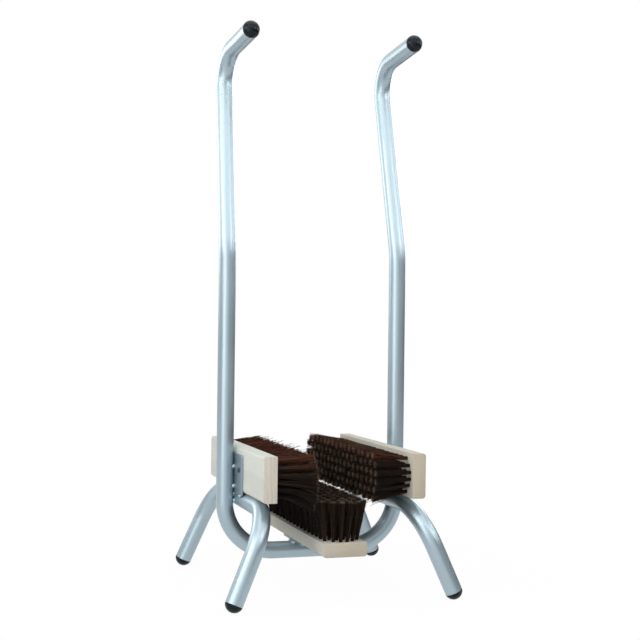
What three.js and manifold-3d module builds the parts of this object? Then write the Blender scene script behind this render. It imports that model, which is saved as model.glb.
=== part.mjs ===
// A free-standing boot scraper: a bent steel tube carries three brush heads that clean the
// two sides and the sole of a boot, and rises into two handles that steady the user.
//
// Millimetres. +Z is up, +X is the user's right and -Y is the side the user stands on.
// The origin lies on the floor, midway between the four feet.

import * as THREE from "three";
import { mergeVertices } from "three/addons/utils/BufferGeometryUtils.js";
import Module from "manifold-3d";

// Steel tube, the same for the frame and both legs
const tubeDiameter = 28;
const tubeWall = 1.5;
const tubeSides = 20;
const boreSides = 12;
const bendStepDegrees = 12;

// Frame: one tube, bent into a U, kinked back at waist height and bent forward into handles
const uprightSpacing = 299;
const bottomRunHeight = 55;
const bottomBendRadius = 84;
const kinkHeight = 555;
const kinkRadius = 140;
const leanBackDegrees = 13.3;
const leanInDegrees = 1.35;
const handleCornerHeight = 883;
const handleBendRadius = 52;
const handleReach = 170;
const handleRiseDegrees = 3.4;
const handleToeInDegrees = 1.2;

// Legs: each an arch that runs front to back on the inner side of an upright
const legRunHeight = 143.5;
const legCornerReach = 173;
const legBendRadius = 75;
const legSplayOutDegrees = 23.4;
const legSplayEndDegrees = 5.9;

// Plastic end caps of the handles and the feet
const capFlange = 1.2;
const capDome = 10.8;
const capSpigotLength = 15;
const capRibHeight = 0.9;
const capSides = 16;
const capDomeSteps = 4;
const capBoreClearance = 0.6;
const footPadDepth = 0.5;

// Brush heads
const brushLength = 354;
const brushWidth = 71;
const blockThickness = 18;
const tuftBackingThickness = 4;
const blockBackRadius = 5;
const blockFrontChamfer = 1;
const blockEdgeSteps = 3;
const brushLegClearance = 1;

// Tufts: rows across the head, each row with its number of tufts
const tuftRows = [16, 17, 18, 18, 17, 16];
const tuftRowSpacing = 10.4;
const tuftEndMargin = 8.5;
const tuftEndCurve = 0.0235;
const tuftLength = 64;
const tuftRootSize = 3.6;
const tuftTipWidth = 9.4;
const tuftTipLength = 13;
const tuftFlareAcross = 1.2;
const tuftFlareAlong = 1.065;
const tuftRootDepth = 1.5;

// Carrier plates between the brush heads and the tube
const plateLength = 110;
const plateWidth = 66;
const plateThickness = 3;
const plateCornerRadius = 6;
const plateCornerSteps = 4;

// Screws through the plates into the blocks, one in front of the tube and one behind it
const screwSpacing = 78;
const screwShankDiameter = 4;
const screwHeadDiameter = 8.4;
const screwHeadHeight = 2.4;
const screwRimHeight = 0.7;
const screwCrownDiameter = 5;
const screwCrownDrop = 0.4;
const screwLength = 17;
const screwTipLength = 4;
const screwRecessLength = 5;
const screwRecessWidth = 1;
const screwRecessDepth = 1.1;
const screwSides = 12;
const plateHoleDiameter = 5;
const pilotHoleDiameter = 4.8;
const pilotHoleSpareDepth = 1;

// Weld beads
const beadRadius = 3.6;
const beadSides = 8;
const beadRings = 6;
const beadGap = 2.5;
const upperBeadOffset = 44;
const lowerBeadOffset = 12;
const legBeadDrop = 2;
const cornerBeadInset = 5;

// The gap kept between pieces that meet on a round face
const seatGap = 0.3;

// Points closer than this are one point when a geometry becomes a solid
const mergeDistance = 1e-4;

// Paint, plastic, wood and bristle colours
const paint = new THREE.MeshStandardMaterial({ color: 0xa9b8c0, roughness: 0.35, metalness: 0.6 });
const blackPlastic = new THREE.MeshStandardMaterial({ color: 0x14181a, roughness: 0.35, metalness: 0 });
const wood = new THREE.MeshStandardMaterial({ color: 0xd3cbbb, roughness: 0.7, metalness: 0 });
const bristle = new THREE.MeshStandardMaterial({ color: 0x2a1912, roughness: 0.6, metalness: 0 });
const darkSteel = new THREE.MeshStandardMaterial({ color: 0x35393a, roughness: 0.4, metalness: 0.8 });

// Sizes that follow from the driving ones
const radius = tubeDiameter / 2;
const boreRadius = radius - tubeWall;
const uprightX = uprightSpacing / 2;
const legX = uprightX - tubeDiameter - seatGap;
const plateOuterX = uprightX - radius - seatGap;
const blockOuterX = plateOuterX - plateThickness;
const plateInnerToLeg = blockOuterX - legX;
const sideBrushHeight = legRunHeight + radius + brushLegClearance + brushWidth / 2;
const plateRestHeight = legRunHeight + Math.sqrt(radius ** 2 - plateInnerToLeg ** 2) + 2 * seatGap;
const sidePlateOffset = sideBrushHeight - (plateRestHeight + plateWidth / 2);
const brushBase = -plateThickness - seatGap - radius;
const beadOffset = Math.sqrt(radius ** 2 - (radius - beadGap) ** 2);
const capDomeRadius = (radius ** 2 + capDome ** 2) / (2 * capDome);
const capDomeCentre = capFlange + capDome - capDomeRadius;

const wasm = await Module();
wasm.setup();

const alongY = new THREE.Vector3(0, 1, 0);

function radians(degrees) {
  return THREE.MathUtils.degToRad(degrees);
}

// Closed three.js geometry to a solid for boolean work, and back
function toSolid(geometry) {
  const plain = geometry.clone();
  plain.deleteAttribute("normal");
  plain.deleteAttribute("uv");
  const merged = mergeVertices(plain, mergeDistance);
  const index = merged.index.array;
  const kept = [];
  for (let i = 0; i < index.length; i += 3) {
    const [a, b, c] = [index[i], index[i + 1], index[i + 2]];
    if (a !== b && b !== c && c !== a) kept.push(a, b, c);
  }
  return new wasm.Manifold(
    new wasm.Mesh({
      numProp: 3,
      vertProperties: new Float32Array(merged.attributes.position.array),
      triVerts: new Uint32Array(kept),
    }),
  );
}

function toGeometry(solid) {
  const { vertProperties, triVerts } = solid.getMesh();
  const indexed = new THREE.BufferGeometry();
  indexed.setAttribute("position", new THREE.BufferAttribute(vertProperties, 3));
  indexed.setIndex(new THREE.BufferAttribute(triVerts, 1));
  const geometry = indexed.toNonIndexed();
  geometry.computeVertexNormals();
  return geometry;
}

function piece(name, geometry, material) {
  const mesh = new THREE.Mesh(geometry, material);
  mesh.name = name;
  return mesh;
}

// A regular polygon on a circle
function ringPoints(size, sides) {
  return Array.from({ length: sides }, (_, i) => {
    const angle = (2 * Math.PI * i) / sides;
    return new THREE.Vector2(size * Math.cos(angle), size * Math.sin(angle));
  });
}

// A tube's centre line: straight runs and true arcs, with a ring wherever a bend needs one
class BentTubePath extends THREE.Curve {
  constructor(corners, radii) {
    super();
    const heading = (i) => corners[i + 1].clone().sub(corners[i]).normalize();
    this.stations = [{ point: corners[0], tangent: heading(0) }];
    for (let i = 1; i < corners.length - 1; i++) {
      this.addBend(corners[i], heading(i - 1), heading(i), radii[i - 1]);
    }
    this.stations.push({ point: corners.at(-1), tangent: heading(corners.length - 2) });
  }

  addBend(corner, incoming, outgoing, bendRadius) {
    const turn = incoming.angleTo(outgoing);
    const axis = incoming.clone().cross(outgoing).normalize();
    const start = corner.clone().addScaledVector(incoming, -bendRadius * Math.tan(turn / 2));
    const centre = start.clone().addScaledVector(axis.clone().cross(incoming), bendRadius);
    const steps = Math.ceil(turn / radians(bendStepDegrees));
    for (let i = 0; i <= steps; i++) {
      const angle = (turn * i) / steps;
      this.stations.push({
        point: start.clone().sub(centre).applyAxisAngle(axis, angle).add(centre),
        tangent: incoming.clone().applyAxisAngle(axis, angle),
      });
    }
  }

  // The curve is read at its stations, so equal steps of u are not equal lengths
  getUtoTmapping(u) {
    return u;
  }

  blend(t, key, target) {
    const last = this.stations.length - 1;
    const index = Math.min(Math.floor(t * last), last - 1);
    const share = t * last - index;
    return target.lerpVectors(this.stations[index][key], this.stations[index + 1][key], share);
  }

  getPoint(t, target = new THREE.Vector3()) {
    return this.blend(t, "point", target);
  }

  getTangent(t, target = new THREE.Vector3()) {
    return this.blend(t, "tangent", target).normalize();
  }
}

function bentTube(corners, radii) {
  const path = new BentTubePath(corners, radii);
  const section = new THREE.Shape(ringPoints(radius, tubeSides));
  section.holes.push(new THREE.Path(ringPoints(boreRadius, boreSides)));
  return new THREE.ExtrudeGeometry(section, {
    steps: path.stations.length - 1,
    bevelEnabled: false,
    extrudePath: path,
  });
}

// A plain bar between two points, used to cut round seats and holes, whose flats lie at its size
function bar(from, to, size, sides) {
  const corner = size / Math.cos(Math.PI / sides);
  const length = from.distanceTo(to);
  const geometry = new THREE.CylinderGeometry(corner, corner, length, sides);
  const turn = new THREE.Quaternion().setFromUnitVectors(alongY, to.clone().sub(from).normalize());
  geometry.applyQuaternion(turn);
  const middle = from.clone().lerp(to, 0.5);
  geometry.translate(middle.x, middle.y, middle.z);
  return toSolid(geometry);
}

function bead(x, y, z) {
  const geometry = new THREE.SphereGeometry(beadRadius, beadSides, beadRings);
  geometry.translate(x, y, z);
  return toSolid(geometry);
}

// Frame

function frameCorners() {
  const rise = handleCornerHeight - kinkHeight;
  const corner = new THREE.Vector3(
    uprightX - rise * Math.tan(radians(leanInDegrees)),
    rise * Math.tan(radians(leanBackDegrees)),
    handleCornerHeight,
  );
  const heading = handleHeading();
  const rightHalf = [
    new THREE.Vector3(uprightX, 0, bottomRunHeight),
    new THREE.Vector3(uprightX, 0, kinkHeight),
    corner,
    corner.clone().addScaledVector(heading, handleReach),
  ];
  const leftHalf = rightHalf.map((point) => new THREE.Vector3(-point.x, point.y, point.z));
  return [...leftHalf.reverse(), ...rightHalf];
}

// The way the right handle points, away from its bend
function handleHeading() {
  const rise = radians(handleRiseDegrees);
  const toe = radians(handleToeInDegrees);
  return new THREE.Vector3(
    -Math.sin(toe) * Math.cos(rise),
    -Math.cos(toe) * Math.cos(rise),
    Math.sin(rise),
  );
}

function frameTube() {
  const halfRadii = [handleBendRadius, kinkRadius, bottomBendRadius];
  return bentTube(frameCorners(), [...halfRadii, ...halfRadii.toReversed()]);
}

// Legs

// The way the right front leg points, towards the floor
function legHeading() {
  return new THREE.Vector3(
    Math.tan(radians(legSplayOutDegrees)),
    -Math.tan(radians(legSplayEndDegrees)),
    -1,
  ).normalize();
}

// Where the right front leg tube ends, so that its cap stands on the floor
function legEnd() {
  const heading = legHeading();
  const capSeat = seatGap + capDomeCentre;
  const height = capDomeRadius - footPadDepth - capSeat * heading.z;
  const corner = new THREE.Vector3(legX, -legCornerReach, legRunHeight);
  return corner.addScaledVector(heading, (height - legRunHeight) / heading.z);
}

// A tube arch with the weld beads that hold it to its upright; side is 1 on the right
function legTube(side) {
  const end = legEnd();
  const corners = [
    new THREE.Vector3(side * end.x, end.y, end.z),
    new THREE.Vector3(side * legX, -legCornerReach, legRunHeight),
    new THREE.Vector3(side * legX, legCornerReach, legRunHeight),
    new THREE.Vector3(side * end.x, -end.y, end.z),
  ];
  const tube = toSolid(bentTube(corners, [legBendRadius, legBendRadius]));
  const upright = bar(
    new THREE.Vector3(side * uprightX, 0, bottomRunHeight),
    new THREE.Vector3(side * uprightX, 0, kinkHeight),
    radius + seatGap,
    tubeSides,
  );
  const beadX = side * (legX + radius - beadGap / 2);
  const beads = [-beadOffset, beadOffset].map((y) =>
    bead(beadX, y, legRunHeight - legBeadDrop).subtract(upright),
  );
  const bore = toSolid(boreOf(corners, [legBendRadius, legBendRadius]));
  return toGeometry(beads.reduce((solid, drop) => solid.add(drop.subtract(bore)), tube));
}

// The hollow inside a tube, as a solid of its own
function boreOf(corners, radii) {
  const path = new BentTubePath(corners, radii);
  return new THREE.ExtrudeGeometry(new THREE.Shape(ringPoints(boreRadius, boreSides)), {
    steps: path.stations.length - 1,
    bevelEnabled: false,
    extrudePath: path,
  });
}

// End caps

// A domed plug: the dome and flange cover the tube's end, the ribbed spigot grips its bore
function capGeometry() {
  const ribRadius = boreRadius * Math.cos(Math.PI / boreSides) - capBoreClearance / 2;
  const coreRadius = ribRadius - capRibHeight;
  const half = capSpigotLength / 2;
  const domeAngle = Math.asin(radius / capDomeRadius);
  const profile = [
    new THREE.Vector2(0, -capSpigotLength),
    new THREE.Vector2(coreRadius, -capSpigotLength),
    new THREE.Vector2(ribRadius, -half),
    new THREE.Vector2(coreRadius, -half),
    new THREE.Vector2(ribRadius, 0),
    new THREE.Vector2(radius, 0),
    new THREE.Vector2(radius, capFlange),
  ];
  for (let i = capDomeSteps - 1; i >= 0; i--) {
    const angle = (domeAngle * i) / capDomeSteps;
    const height = capDomeCentre + capDomeRadius * Math.cos(angle);
    profile.push(new THREE.Vector2(capDomeRadius * Math.sin(angle), height));
  }
  return new THREE.LatheGeometry(profile, capSides);
}

// Places a shape that points along +Y at the end of a tube
function capPlacement(end, heading) {
  const turn = new THREE.Quaternion().setFromUnitVectors(alongY, heading);
  const seat = end.clone().addScaledVector(heading, seatGap);
  return new THREE.Matrix4().compose(seat, turn, new THREE.Vector3(1, 1, 1));
}

function handleCap(side) {
  const end = frameCorners().at(-1);
  const heading = handleHeading();
  end.x *= side;
  heading.x *= side;
  return toGeometry(toSolid(capGeometry().applyMatrix4(capPlacement(end, heading))));
}

// A foot is the same plug with a small flat pad where its dome meets the floor
function footCap(side, end) {
  const point = legEnd();
  const heading = legHeading();
  const flip = new THREE.Vector3(side, -end, 1);
  point.multiply(flip);
  heading.multiply(flip);
  const cap = toSolid(capGeometry().applyMatrix4(capPlacement(point, heading)));
  const floor = new THREE.BoxGeometry(4 * radius, 4 * radius, 2 * radius);
  floor.translate(point.x, point.y, -radius);
  return toGeometry(cap.subtract(toSolid(floor)));
}

// Brush heads
//
// A head is built lying on its back at its own origin: X across it, Y along it and +Z the
// way the bristles point, with Z = 0 at the face that the carrier plate touches.

// Extrudes an outline drawn across the head to the head's length
function alongHead(outline) {
  const geometry = new THREE.ExtrudeGeometry(outline, {
    depth: brushLength,
    bevelEnabled: false,
    curveSegments: blockEdgeSteps,
  });
  geometry.rotateX(Math.PI / 2);
  geometry.translate(0, brushLength / 2, 0);
  return geometry;
}

function block() {
  const half = brushWidth / 2;
  const inset = half - blockBackRadius;
  const outline = new THREE.Shape();
  outline.moveTo(half, blockThickness);
  outline.lineTo(-half, blockThickness);
  outline.absarc(-inset, blockBackRadius, blockBackRadius, Math.PI, 1.5 * Math.PI);
  outline.absarc(inset, blockBackRadius, blockBackRadius, 1.5 * Math.PI, 2 * Math.PI);
  const depth = screwLength - plateThickness + pilotHoleSpareDepth;
  const pilots = screwPlaces().map((y) =>
    bar(
      new THREE.Vector3(0, y, -blockThickness),
      new THREE.Vector3(0, y, depth),
      pilotHoleDiameter / 2,
      screwSides,
    ),
  );
  const solid = pilots.reduce((rest, pilot) => rest.subtract(pilot), toSolid(alongHead(outline)));
  return toGeometry(solid);
}

function screwPlaces() {
  return [-screwSpacing / 2, screwSpacing / 2];
}

// Tuft roots: straight rows whose ends follow a curve, as the drilled pattern does
function tuftRoots() {
  const middle = (tuftRows.length - 1) / 2;
  return tuftRows.flatMap((count, row) => {
    const x = (row - middle) * tuftRowSpacing;
    const reach = brushLength / 2 - tuftEndMargin - tuftEndCurve * x ** 2;
    return Array.from({ length: count }, (_, i) => ({ x, y: reach * ((2 * i) / (count - 1) - 1) }));
  });
}

// One tuft: a four-sided strand that widens and leans outward from its root
function tuftCorners({ x, y }) {
  const base = blockThickness + tuftBackingThickness - tuftRootDepth;
  const tip = blockThickness + tuftBackingThickness + tuftLength;
  const around = [[-1, -1], [1, -1], [1, 1], [-1, 1]];
  const half = tuftRootSize / 2;
  const root = around.map(([u, v]) => [x + u * half, y + v * half, base]);
  const end = around.map(([u, v]) => [
    x * tuftFlareAcross + (u * tuftTipWidth) / 2,
    y * tuftFlareAlong + (v * tuftTipLength) / 2,
    tip,
  ]);
  return [...root, ...end];
}

function tufts() {
  const positions = [];
  const faces = [];
  for (const place of tuftRoots()) {
    const first = positions.length / 3;
    positions.push(...tuftCorners(place).flat());
    const quads = [[3, 2, 1, 0], [4, 5, 6, 7]];
    for (let i = 0; i < 4; i++) {
      const next = (i + 1) % 4;
      quads.push([i, next, next + 4, i + 4]);
    }
    for (const [a, b, c, d] of quads) {
      faces.push(first + a, first + b, first + c, first + a, first + c, first + d);
    }
  }
  const geometry = new THREE.BufferGeometry();
  geometry.setAttribute("position", new THREE.Float32BufferAttribute(positions, 3));
  geometry.setIndex(faces);
  return geometry;
}

// The bristled face of the block, with its tufts set in it
function bristles() {
  const half = brushWidth / 2;
  const top = blockThickness + tuftBackingThickness;
  const outline = new THREE.Shape([
    new THREE.Vector2(-half, blockThickness),
    new THREE.Vector2(half, blockThickness),
    new THREE.Vector2(half, top - blockFrontChamfer),
    new THREE.Vector2(half - blockFrontChamfer, top),
    new THREE.Vector2(blockFrontChamfer - half, top),
    new THREE.Vector2(-half, top - blockFrontChamfer),
  ]);
  return toGeometry(toSolid(alongHead(outline)).add(toSolid(tufts())));
}

// Carrier plates

// A flat plate with rounded corners, shifted across the head so that its screws stay central
function plateBlank(shift) {
  const halfLength = plateLength / 2;
  const halfWidth = plateWidth / 2;
  const inner = plateCornerRadius;
  const outline = new THREE.Shape();
  outline.absarc(shift + halfWidth - inner, halfLength - inner, inner, 0, Math.PI / 2);
  outline.absarc(shift - halfWidth + inner, halfLength - inner, inner, Math.PI / 2, Math.PI);
  outline.absarc(shift - halfWidth + inner, inner - halfLength, inner, Math.PI, 1.5 * Math.PI);
  outline.absarc(shift + halfWidth - inner, inner - halfLength, inner, 1.5 * Math.PI, 2 * Math.PI);
  for (const y of screwPlaces()) {
    const hole = new THREE.Path();
    hole.absarc(0, y, plateHoleDiameter / 2, 0, 2 * Math.PI, true);
    outline.holes.push(hole);
  }
  const geometry = new THREE.ExtrudeGeometry(outline, {
    depth: plateThickness,
    bevelEnabled: false,
    curveSegments: plateCornerSteps,
  });
  geometry.translate(0, 0, -plateThickness);
  return toSolid(geometry);
}

// Beads where the plate lies against the tube that carries it, at the given places along it
function tubeBeads(places) {
  const reach = brushWidth + plateWidth;
  const tube = bar(
    new THREE.Vector3(-reach, 0, brushBase),
    new THREE.Vector3(reach, 0, brushBase),
    radius + seatGap,
    tubeSides,
  );
  const z = -plateThickness - beadGap / 2;
  return places.flatMap((x) =>
    [-beadOffset, beadOffset].map((y) => bead(x, y, z).subtract(tube)),
  );
}

// Beads between the lower corners of a side plate and the leg tube below it
function legBeads(lowerEdge) {
  const reach = brushLength / 2;
  const legHeight = sideBrushHeight - legRunHeight;
  const leg = bar(
    new THREE.Vector3(legHeight, -reach, plateInnerToLeg),
    new THREE.Vector3(legHeight, reach, plateInnerToLeg),
    radius + seatGap,
    tubeSides,
  );
  const y = plateLength / 2 - plateCornerRadius - cornerBeadInset;
  return [-y, y].map((place) =>
    bead(lowerEdge, place, -plateThickness).subtract(leg).subtract(underside()),
  );
}

// The room of the block behind the plate, which no bead may enter
function underside() {
  const room = new THREE.BoxGeometry(3 * brushWidth, 2 * brushLength, 2 * blockThickness);
  room.translate(0, 0, blockThickness);
  return toSolid(room);
}

function sidePlate() {
  const lowerEdge = sidePlateOffset + plateWidth / 2;
  const places = [lowerEdge - lowerBeadOffset, lowerEdge - upperBeadOffset];
  const beads = [...tubeBeads(places), ...legBeads(lowerEdge)];
  return toGeometry(beads.reduce((solid, drop) => solid.add(drop), plateBlank(sidePlateOffset)));
}

function bottomPlate() {
  const half = plateWidth / 2;
  const beads = tubeBeads([-half, half]);
  return toGeometry(beads.reduce((solid, drop) => solid.add(drop), plateBlank(0)));
}

// Screws

// A round-headed wood screw with a cross recess, its head on the plate's outer face
function screw() {
  const shank = screwShankDiameter / 2;
  const head = screwHeadDiameter / 2;
  const profile = [
    new THREE.Vector2(0, -screwHeadHeight),
    new THREE.Vector2(screwCrownDiameter / 2, screwCrownDrop - screwHeadHeight),
    new THREE.Vector2(head, -screwRimHeight),
    new THREE.Vector2(head, 0),
    new THREE.Vector2(shank, 0),
    new THREE.Vector2(shank, screwLength - screwTipLength),
    new THREE.Vector2(0, screwLength),
  ];
  const geometry = new THREE.LatheGeometry(profile, screwSides);
  geometry.rotateX(Math.PI / 2);
  let solid = toSolid(geometry);
  for (const turn of [0, Math.PI / 2]) {
    const slot = new THREE.BoxGeometry(screwRecessLength, screwRecessWidth, 2 * screwRecessDepth);
    slot.rotateZ(turn);
    slot.translate(0, 0, -screwHeadHeight);
    solid = solid.subtract(toSolid(slot));
  }
  return toGeometry(solid);
}

// A brush head with its plate and screws, in the head's own frame
function brushStation(name, plateGeometry, front) {
  const station = new THREE.Group();
  station.add(piece(`plate_${name}`, plateGeometry, paint));
  station.add(piece(`brush_block_${name}`, block(), wood));
  station.add(piece(`bristles_${name}`, bristles(), bristle));
  for (const y of screwPlaces()) {
    const end = Math.sign(y) === front ? "front" : "rear";
    const fastener = piece(`screw_${name}_${end}`, screw(), darkSteel);
    fastener.position.set(0, y, -plateThickness);
    station.add(fastener);
  }
  return station;
}

// The left head stands on edge with its bristles towards +X
function leftStation() {
  const station = brushStation("left", sidePlate(), -1);
  station.rotation.y = Math.PI / 2;
  station.position.set(-blockOuterX, 0, sideBrushHeight);
  return station;
}

// The right one is the same assembly turned half round
function rightStation() {
  const station = brushStation("right", sidePlate(), 1);
  station.rotation.y = Math.PI / 2;
  station.position.set(-blockOuterX, 0, sideBrushHeight);
  const turned = new THREE.Group();
  turned.rotation.z = Math.PI;
  turned.add(station);
  return turned;
}

// The third head lies across the bottom run with its bristles up
function bottomStation() {
  const station = brushStation("bottom", bottomPlate(), -1);
  station.position.z = bottomRunHeight - brushBase;
  return station;
}

const bootScraper = new THREE.Group();
bootScraper.name = "boot_scraper";
bootScraper.add(piece("frame_tube", frameTube(), paint));
bootScraper.add(piece("leg_left", legTube(-1), paint));
bootScraper.add(piece("leg_right", legTube(1), paint));
bootScraper.add(piece("handle_cap_left", handleCap(-1), blackPlastic));
bootScraper.add(piece("handle_cap_right", handleCap(1), blackPlastic));
for (const [sideName, side] of [["left", -1], ["right", 1]]) {
  for (const [endName, end] of [["front", -1], ["rear", 1]]) {
    bootScraper.add(piece(`foot_cap_${endName}_${sideName}`, footCap(side, end), blackPlastic));
  }
}
bootScraper.add(leftStation(), rightStation(), bottomStation());

export default bootScraper;
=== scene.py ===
# Dresses the boot scraper's solids: painted tubes, wooden brush backs, bristles, caps and screws
import math

import bmesh
import bpy
from bpy.props import FloatProperty, FloatVectorProperty, IntProperty, PointerProperty
from bpy.types import Operator, Panel, PropertyGroup
from mathutils import Matrix, Vector


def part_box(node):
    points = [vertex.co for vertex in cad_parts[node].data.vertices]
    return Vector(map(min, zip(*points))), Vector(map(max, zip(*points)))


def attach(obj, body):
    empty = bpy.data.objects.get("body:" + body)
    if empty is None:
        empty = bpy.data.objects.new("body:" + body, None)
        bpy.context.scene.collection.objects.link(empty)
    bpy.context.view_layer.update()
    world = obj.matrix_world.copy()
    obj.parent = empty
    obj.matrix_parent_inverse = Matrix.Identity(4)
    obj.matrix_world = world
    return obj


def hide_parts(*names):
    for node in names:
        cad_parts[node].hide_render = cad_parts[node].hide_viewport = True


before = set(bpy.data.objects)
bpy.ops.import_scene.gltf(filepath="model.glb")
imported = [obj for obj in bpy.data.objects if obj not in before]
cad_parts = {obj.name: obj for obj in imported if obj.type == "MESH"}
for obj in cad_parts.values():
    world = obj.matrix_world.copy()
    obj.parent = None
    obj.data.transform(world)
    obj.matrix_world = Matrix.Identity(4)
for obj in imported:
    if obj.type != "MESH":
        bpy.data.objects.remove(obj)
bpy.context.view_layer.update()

MM = 0.001

bl_info = {
    "name": "Boot Scraper",
    "version": (1, 0, 0),
    "blender": (4, 5, 0),
    "location": "View3D > Sidebar > Boot Scraper",
    "description": "Builds a free-standing boot scraper with three brushes and two handles",
    "category": "Object",
}


def colour(red, green, blue):
    """A display colour from 0 to 255 as the linear colour that a shader takes."""
    def linear(level):
        share = level / 255
        return share / 12.92 if share <= 0.04045 else ((share + 0.055) / 1.055) ** 2.4

    return (linear(red), linear(green), linear(blue))


def length(name, description, default, **more):
    """A length in metres, given in millimetres."""
    return FloatProperty(name=name, description=description, default=default * MM,
                         subtype="DISTANCE", unit="LENGTH", precision=5, **more)


def angle(name, description, default):
    """An angle in radians, given in degrees."""
    return FloatProperty(name=name, description=description, default=math.radians(default),
                         subtype="ANGLE", unit="ROTATION")


def tint(name, description, red, green, blue):
    return FloatVectorProperty(name=name, description=description, subtype="COLOR",
                               size=3, min=0, max=1, default=colour(red, green, blue))


# Settings that a user would change

class TubeSettings(PropertyGroup):
    diameter: length("Diameter", "Outside diameter of every tube", 28)
    wall: length("Wall", "Wall of every tube", 1.5)
    sides: IntProperty(name="Sides", description="Faces around a tube", default=56, min=8)
    bend_steps: IntProperty(name="Bend Steps", description="Rings added in each bend",
                            default=18, min=2)
    bottom_bend: length("Bottom Bend", "Bend radius under the brushes", 84)
    kink_height: length("Kink Height", "Where the uprights start to lean back", 555)
    kink_bend: length("Kink Bend", "Bend radius of the kink", 140)
    lean_back: angle("Lean Back", "Lean of the uprights above the kink", 13.3)
    lean_in: angle("Lean In", "Lean of the uprights towards each other", 1.35)
    handle_height: length("Handle Height", "Height of the corner under each handle", 883)
    handle_bend: length("Handle Bend", "Bend radius at each handle", 52)
    handle_reach: length("Handle Reach", "From the handle's corner to the tube's end", 170)
    handle_rise: angle("Handle Rise", "Rise of the handles towards the user", 3.4)
    handle_toe_in: angle("Handle Toe-in", "Turn of the handles towards each other", 1.2)


class LegSettings(PropertyGroup):
    corner_reach: length("Corner Reach", "From the middle to each leg's corner", 173)
    bend: length("Bend", "Bend radius at each leg's corner", 75)
    splay_out: angle("Splay Out", "Lean of each leg away from the brushes", 23.4)
    splay_end: angle("Splay to the Ends", "Lean of each leg to the front or rear", 5.9)
    seat_gap: length("Seat Gap", "Gap between touching pieces", 0.3)
    bead_drop: length("Bead Drop", "How far a leg's weld beads lie below its middle", 2)


class CapSettings(PropertyGroup):
    flange: length("Flange", "Straight rim of a cap", 1.2)
    dome: length("Dome", "Height of a cap's dome above its rim", 10.8)
    spigot: length("Spigot", "Length of the ribbed plug inside the tube", 15)
    pad: length("Foot Pad", "Depth of the flat that stands on the floor", 0.5)
    plastic: tint("Plastic", "Colour of the caps", 6, 21, 26)


class BrushSettings(PropertyGroup):
    backing: length("Bristled Face", "Thickness of the drilled face of a block", 4)
    back_radius: length("Back Edge", "Radius of the block's back edges", 5)
    front_radius: length("Front Edge", "Radius of the block's other edges", 0.9)
    row_spacing: length("Row Spacing", "Between the rows of tufts", 10.4)
    end_margin: length("End Margin", "From the block's end to the middle rows' last tuft", 8.5)
    end_curve: FloatProperty(name="End Curve", description="How far the outer rows stop short, "
                             "per metre of their distance from the middle", default=23.5)
    bristle_length: length("Bristle Length", "Free length of the bristles", 65)
    bristle_thickness: length("Bristle Thickness", "Thickness of one bristle", 0.7)
    root_radius: length("Root Radius", "Radius of a tuft where it leaves the wood", 2.5)
    spread_across: length("Spread Across", "Half width of a tuft's tip across the brush", 4.8)
    spread_along: length("Spread Along", "Half width of a tuft's tip along the brush", 4.5)
    tuft_lean: length("Tuft Lean", "How far the tips of one tuft lean together", 1.0)
    per_tuft: IntProperty(name="Bristles per Tuft", description="Bristles in each tuft",
                          default=136, min=3)
    seed: IntProperty(name="Seed", description="Seed of the bristles' scatter", default=7)
    wood: tint("Wood", "Colour of the palest block's long faces", 217, 221, 212)
    end_grain: tint("End Grain", "Colour of the palest block's end faces", 229, 222, 206)
    # The shaded colours are painted shade: the right and bottom blocks are darker, as if they got
    # less light
    shaded_wood: tint("Shaded Wood", "Colour of the deepest block's long faces", 207, 201, 186)
    shaded_end_grain: tint("Shaded End Grain", "Colour of the deepest block's end faces",
                         208, 196, 175)
    dark_fibre: tint("Dark Fibre", "Colour of the darkest bristles", 20, 17, 13)
    fibre: tint("Fibre", "Colour of the lightest bristles", 78, 56, 41)
    # Painted top light: the upper rows' bristles take this lighter colour, as if lit from above
    top_lit_fibre: tint("Top-Lit Fibre", "Colour of bristles bleached by the sun", 126, 70, 46)
    # The cut ends are paler: partly the fibres' own colour, partly a painted highlight where the
    # ends catch the light
    cut_end: tint("Cut End", "Colour of the bristles' cut ends", 190, 164, 142)


class PlateSettings(PropertyGroup):
    corner: length("Corner", "Corner radius of the carrier plates", 6)
    edge: length("Edge", "Rounding of the plates' edges", 0.35)
    plate_length: length("Length", "Length of a plate along its brush", 110)
    plate_width: length("Width", "Width of a plate across its brush", 66)
    thickness: length("Thickness", "Thickness of the plates", 3)
    screw_spacing: length("Screw Spacing", "Between the two screws of a plate", 78)
    screw_hole: length("Screw Hole", "Diameter of a plate's screw holes", 5)
    head_diameter: length("Screw Head", "Diameter of a screw's head", 8.4)
    head_height: length("Head Height", "Height of a screw's head", 2.4)
    bead: length("Weld Bead", "Radius of a weld bead", 3.8)
    bead_gap: length("Bead Gap", "Gap between tube and plate where a bead lies", 2.5)
    lower_bead: length("Lower Bead", "From a side plate's lower edge to its lower beads", 12)
    upper_bead: length("Upper Bead", "From a side plate's lower edge to its upper beads", 44)
    corner_bead: length("Corner Bead", "From a plate's rounded corner to its corner bead", 5)
    paint: tint("Paint", "Colour of the painted tubes and plates", 170, 188, 197)
    steel: tint("Screw Steel", "Colour of the screws", 62, 64, 63)


class ViewSettings(PropertyGroup):
    position: FloatVectorProperty(name="Position", description="Camera position", size=3,
                                  subtype="XYZ", unit="LENGTH",
                                  default=(-0.6219, -1.9545, 0.4317))
    yaw: angle("Yaw", "Turn of the camera from straight ahead", 17.95)
    pitch: angle("Pitch", "Tilt of the camera", 0.17)
    roll: angle("Roll", "Roll of the camera", 0.71)
    focal: FloatProperty(name="Focal Length", description="Focal length in millimetres on a "
                         "sensor 36 mm wide", default=68.75)
    floor: tint("Floor", "Colour of the floor", 205, 205, 205)


class ScraperSettings(PropertyGroup):
    tube: PointerProperty(type=TubeSettings)
    leg: PointerProperty(type=LegSettings)
    cap: PointerProperty(type=CapSettings)
    brush: PointerProperty(type=BrushSettings)
    plate: PointerProperty(type=PlateSettings)
    view: PointerProperty(type=ViewSettings)


# Node trees written as Python expressions

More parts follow.
